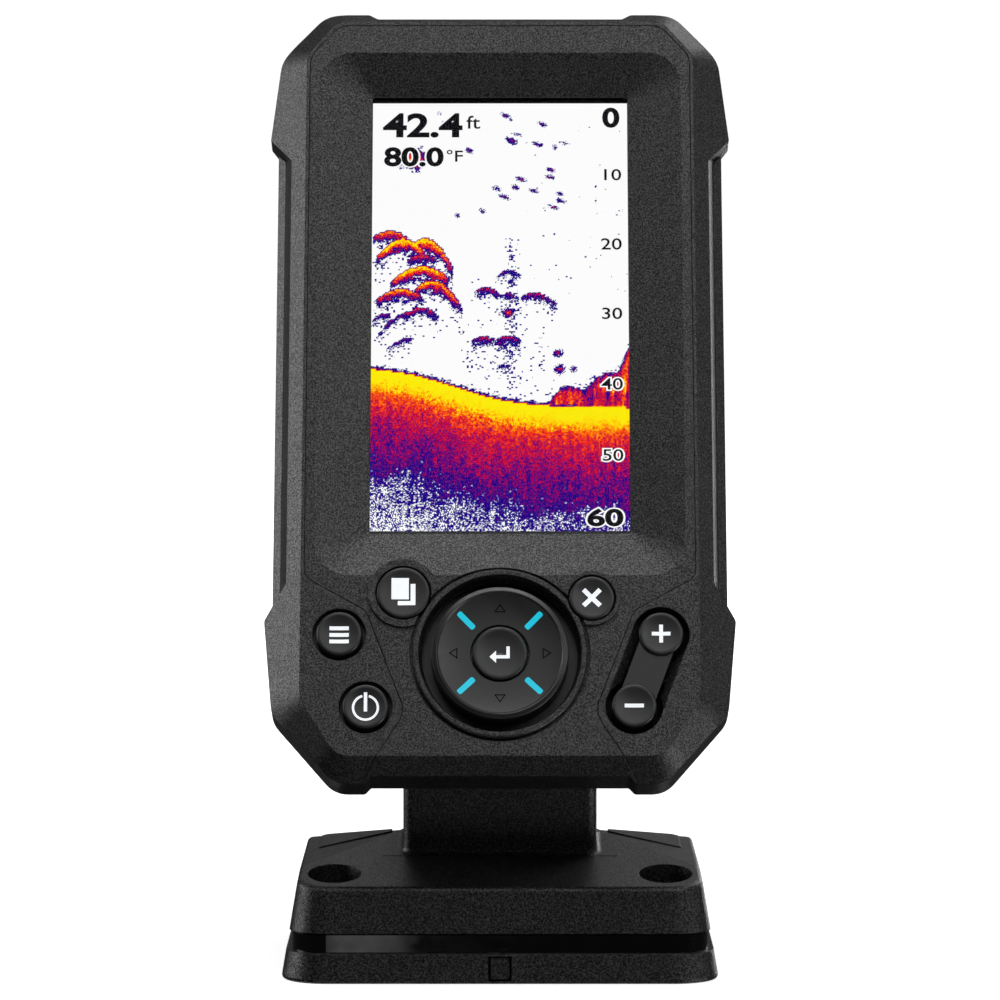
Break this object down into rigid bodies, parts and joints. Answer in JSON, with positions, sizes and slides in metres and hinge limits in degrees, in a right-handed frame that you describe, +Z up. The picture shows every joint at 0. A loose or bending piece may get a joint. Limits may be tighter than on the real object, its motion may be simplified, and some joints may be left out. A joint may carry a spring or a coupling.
{
  "type": "fish finder",
  "caption": "Portable sonar fish finder: upright display head with keys and a direction pad, leaning back on a tilt hinge over a swivel base that screws down.",
  "frame": {"origin": "middle of the base's underside, on the swivel axis", "axes": "+Z up along the swivel axis, +X to the viewer's right when facing the screen, -Y towards the viewer"},
  "size_m": [0.0972, 0.0865, 0.1996],
  "materials": {
    "housing_black": "fine-grained charcoal moulding",
    "side_black": "satin charcoal moulding",
    "key_black": "smooth satin key cap",
    "light_cyan": "translucent cyan light bar",
    "lens": "clear bonded window",
    "screen": "lit colour display",
    "backlight_white": "white light guide",
    "steel": "plain steel",
    "board_green": "solder-masked circuit board",
    "chip_black": "moulded chip packages",
    "ceramic": "glazed ceramic patch",
    "flex_amber": "polyimide ribbon",
    "silicone": "grey silicone",
    "rubber_black": "black rubber",
    "socket_black": "glass-filled nylon",
    "gold": "gold-plated contact",
    "brass": "turned brass",
    "bronze": "sintered bronze",
    "bracket_black": "textured glass-filled nylon",
    "acetal": "natural acetal"
  },
  "bodies": {
    "base": {"base_plate": "bracket_black", "base_pad": "rubber_black", "swivel_bush": "bronze", "lock_spring": "steel"},
    "lock_tab": {"lock_tab": "bracket_black"},
    "swivel": {"swivel_bracket": "bracket_black", "swivel_insert": "brass", "swivel_bolt": "steel", "swivel_washer": "steel", "tilt_bolt": "steel", "tilt_nut": "steel", "tilt_spring_washer": "steel", "friction_washers": "acetal"},
    "head": {"front_frame": "housing_black", "display_panel": "housing_black", "lens_window": "lens", "lcd_glass": "screen", "backlight": "backlight_white", "lcd_frame": "steel", "lcd_flex": "flex_amber", "main_board": "board_green", "board_screws": "steel", "board_chips": "chip_black", "gps_antenna": "ceramic", "buzzer": "chip_black", "switch_domes": "steel", "keypad_mat": "silicone", "zoom_pin": "chip_black", "pad_post": "acetal", "housing_gasket": "silicone", "rear_housing": "side_black", "case_screws": "steel", "rear_socket": "socket_black", "socket_pins": "gold", "socket_seal": "rubber_black", "vent_plug": "rubber_black", "tilt_cradle": "bracket_black", "tilt_bush": "acetal", "latch_pin": "steel", "latch_spring": "steel"},
    "release_latch": {"release_latch": "key_black"},
    "menu_button": {"menu_button": "key_black"},
    "power_button": {"power_button": "key_black"},
    "pages_button": {"pages_button": "key_black"},
    "close_button": {"close_button": "key_black"},
    "enter_button": {"enter_button": "key_black"},
    "zoom_rocker": {"zoom_rocker": "key_black"},
    "pad_gimbal": {"pad_gimbal": "acetal"},
    "direction_pad": {"direction_pad": "key_black", "light_bars": "light_cyan"}
  },
  "joints": [
    {"name": "base_swivel", "type": "hinge", "parent": "base", "child": "swivel", "pos_m": [0, 0, 0.0102], "axis": [0, 0, 1], "range_deg": [-90, 90]},
    {"name": "head_tilt", "type": "hinge", "parent": "swivel", "child": "head", "pos_m": [0, 0.0025, 0.058], "axis": [1, 0, 0], "range_deg": [-20, 20]},
    {"name": "lock_tab_press", "type": "slide", "parent": "base", "child": "lock_tab", "axis": [0, 1, 0], "range_m": [0, 0.002], "stiffness_N_per_m": 400, "deforming": ["lock_spring"]},
    {"name": "release_latch_press", "type": "hinge", "parent": "head", "child": "release_latch", "pos_m": [0, 0.01036, 0.09896], "axis": [-1, 0, 0], "range_deg": [0, 11], "stiffness_Nm_per_rad": 0.05, "deforming": ["latch_spring"]},
    {"name": "menu_press", "type": "slide", "parent": "head", "child": "menu_button", "axis": [0, 0.9298, -0.3681], "range_m": [0, 0.0007], "stiffness_N_per_m": 700},
    {"name": "power_press", "type": "slide", "parent": "head", "child": "power_button", "axis": [0, 0.9298, -0.3681], "range_m": [0, 0.0007], "stiffness_N_per_m": 700},
    {"name": "pages_press", "type": "slide", "parent": "head", "child": "pages_button", "axis": [0, 0.9298, -0.3681], "range_m": [0, 0.0007], "stiffness_N_per_m": 700},
    {"name": "close_press", "type": "slide", "parent": "head", "child": "close_button", "axis": [0, 0.9298, -0.3681], "range_m": [0, 0.0007], "stiffness_N_per_m": 700},
    {"name": "enter_press", "type": "slide", "parent": "head", "child": "enter_button", "axis": [0, 0.9298, -0.3681], "range_m": [0, 0.0007], "stiffness_N_per_m": 700},
    {"name": "zoom_rock", "type": "hinge", "parent": "head", "child": "zoom_rocker", "pos_m": [0.0301, -0.03752, 0.0636], "axis": [0.9383, -0.1273, -0.3214], "range_deg": [-4, 4], "stiffness_Nm_per_rad": 0.12},
    {"name": "pad_tilt_up_down", "type": "hinge", "parent": "head", "child": "pad_gimbal", "pos_m": [0, -0.03707, 0.06718], "axis": [1, 0, 0], "range_deg": [-2.8, 2.8], "stiffness_Nm_per_rad": 0.12},
    {"name": "pad_tilt_left_right", "type": "hinge", "parent": "pad_gimbal", "child": "direction_pad", "pos_m": [0, -0.03707, 0.06718], "axis": [0, 0.3681, 0.9298], "range_deg": [-2.8, 2.8], "stiffness_Nm_per_rad": 0.12}
  ]
}
